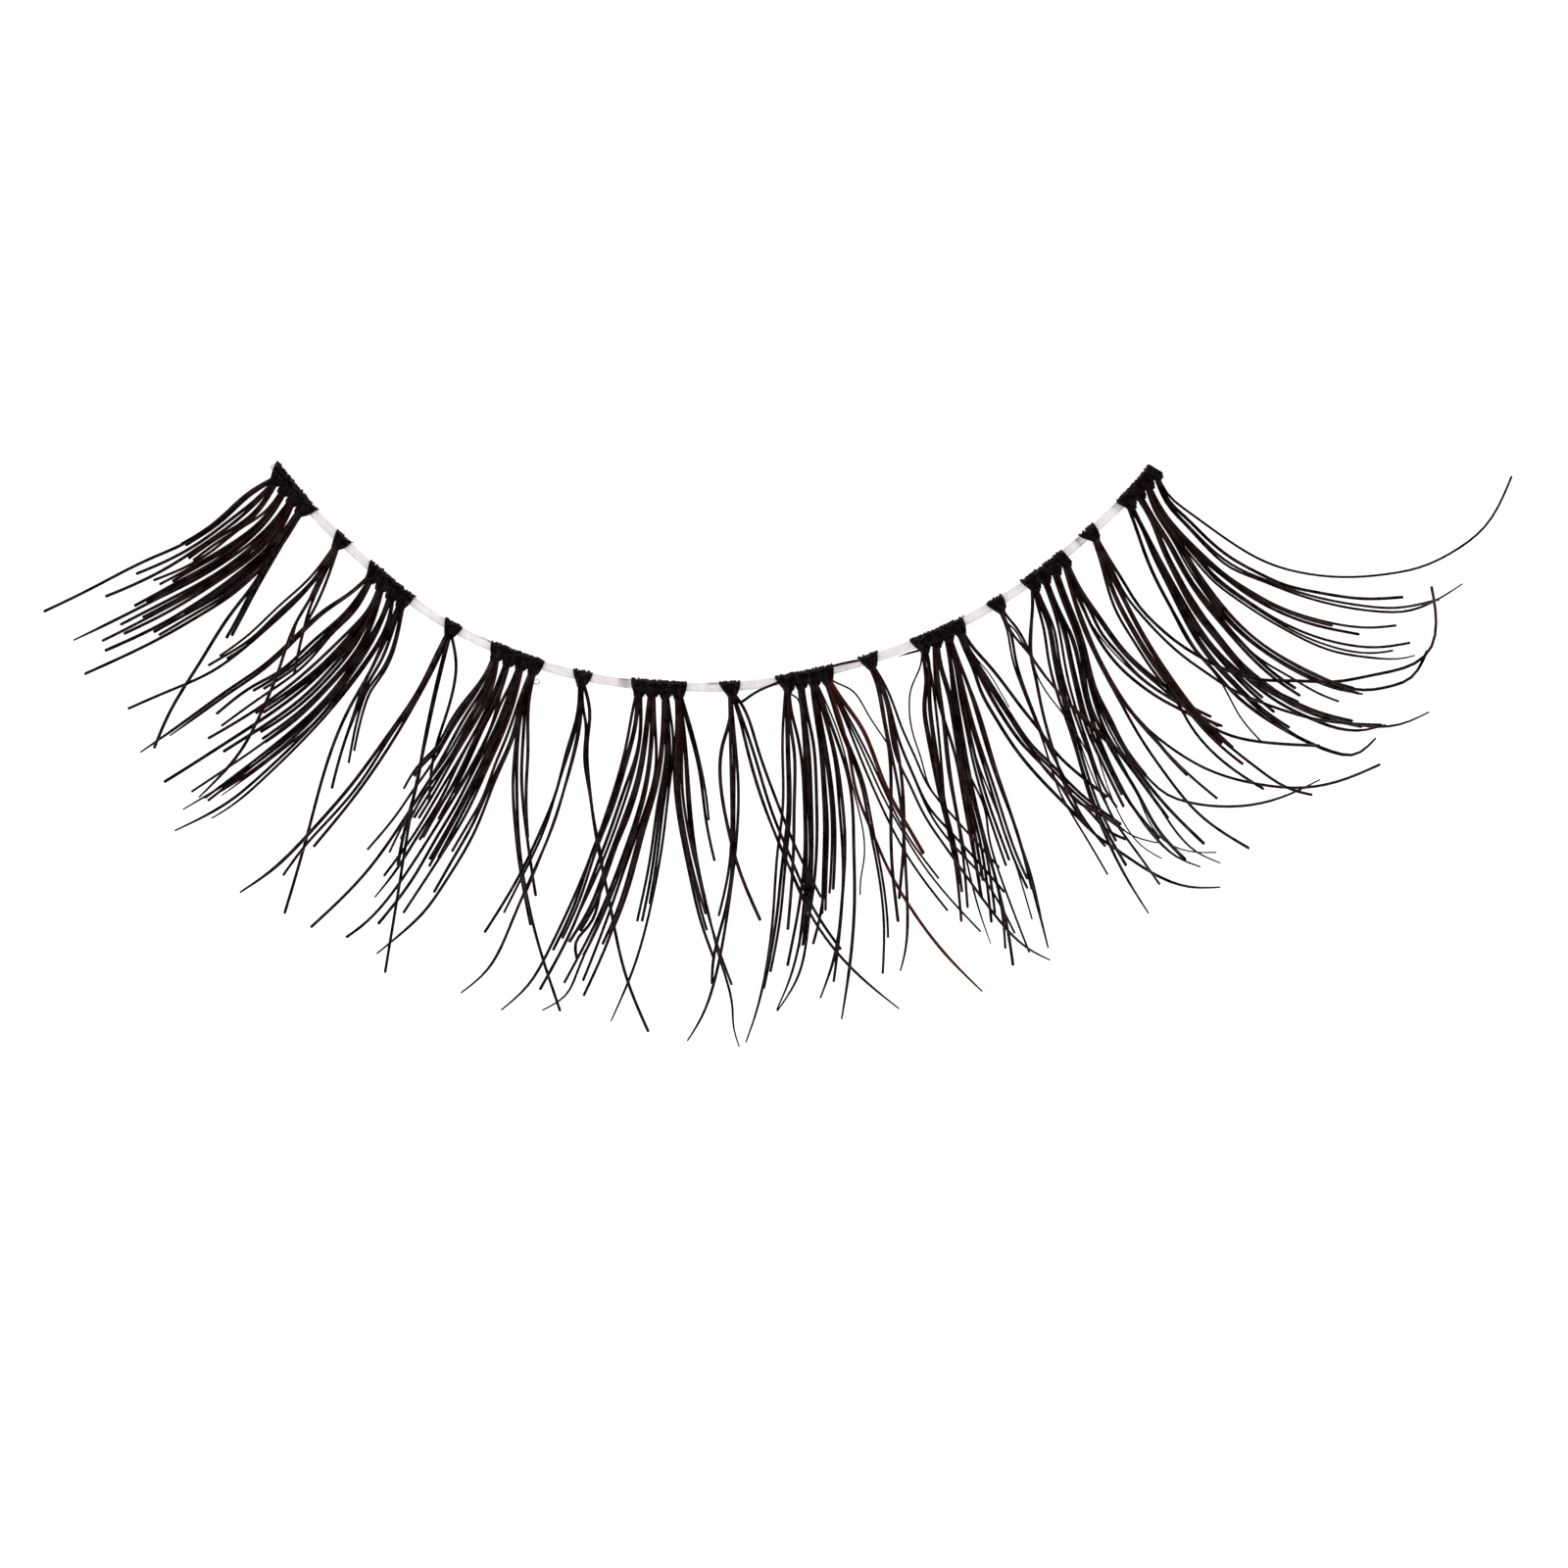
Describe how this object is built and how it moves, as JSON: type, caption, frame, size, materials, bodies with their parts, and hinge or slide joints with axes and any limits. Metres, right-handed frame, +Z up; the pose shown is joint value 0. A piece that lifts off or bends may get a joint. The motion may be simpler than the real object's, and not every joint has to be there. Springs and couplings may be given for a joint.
{
  "type": "strip false eyelash",
  "caption": "Strip false eyelash: a clear band in an upper lid's arc, with knotted clusters and single wisps of black hair that grow longer and more curled towards the outer corner.",
  "frame": {"origin": "on the surface that the lash lies on, under the middle of its outline", "axes": "+X along the lash to the outer corner of the eye, +Y from the tips to the lid, +Z up from the surface"},
  "size_m": [0.0458, 0.0186, 0.005],
  "materials": {
    "clear_band": "clear, slightly milky",
    "knot_thread": "wound and knotted, glue-set",
    "hair": "black fibre with a soft gloss"
  },
  "bodies": {
    "root": {"band": "clear_band", "cluster_1_knot": "knot_thread", "cluster_1_tuft_1": "hair", "cluster_1_tuft_2": "hair", "cluster_1_tuft_3": "hair", "cluster_1_tuft_4": "hair", "wisp_1_knot": "knot_thread", "wisp_1_tuft": "hair", "cluster_2_knot": "knot_thread", "cluster_2_tuft_1": "hair", "cluster_2_tuft_2": "hair", "cluster_2_tuft_3": "hair", "cluster_2_tuft_4": "hair", "wisp_2_knot": "knot_thread", "wisp_2_tuft": "hair", "cluster_3_knot": "knot_thread", "cluster_3_tuft_1": "hair", "cluster_3_tuft_2": "hair", "cluster_3_tuft_3": "hair", "cluster_3_tuft_4": "hair", "wisp_3_knot": "knot_thread", "wisp_3_tuft": "hair", "cluster_4_knot": "knot_thread", "cluster_4_tuft_1": "hair", "cluster_4_tuft_2": "hair", "cluster_4_tuft_3": "hair", "cluster_4_tuft_4": "hair", "wisp_4_knot": "knot_thread", "wisp_4_tuft": "hair", "cluster_5_knot": "knot_thread", "cluster_5_tuft_1": "hair", "cluster_5_tuft_2": "hair", "cluster_5_tuft_3": "hair", "cluster_5_tuft_4": "hair", "wisp_5_knot": "knot_thread", "wisp_5_tuft": "hair", "cluster_6_knot": "knot_thread", "cluster_6_tuft_1": "hair", "cluster_6_tuft_2": "hair", "cluster_6_tuft_3": "hair", "cluster_6_tuft_4": "hair", "wisp_6_knot": "knot_thread", "wisp_6_tuft": "hair", "cluster_7_knot": "knot_thread", "cluster_7_tuft_1": "hair", "cluster_7_tuft_2": "hair", "cluster_7_tuft_3": "hair", "cluster_7_tuft_4": "hair", "wisp_7_knot": "knot_thread", "wisp_7_tuft": "hair", "cluster_8_knot": "knot_thread", "cluster_8_tuft_1": "hair", "cluster_8_tuft_2": "hair", "cluster_8_tuft_3": "hair", "cluster_8_tuft_4": "hair"}
  },
  "joints": []
}
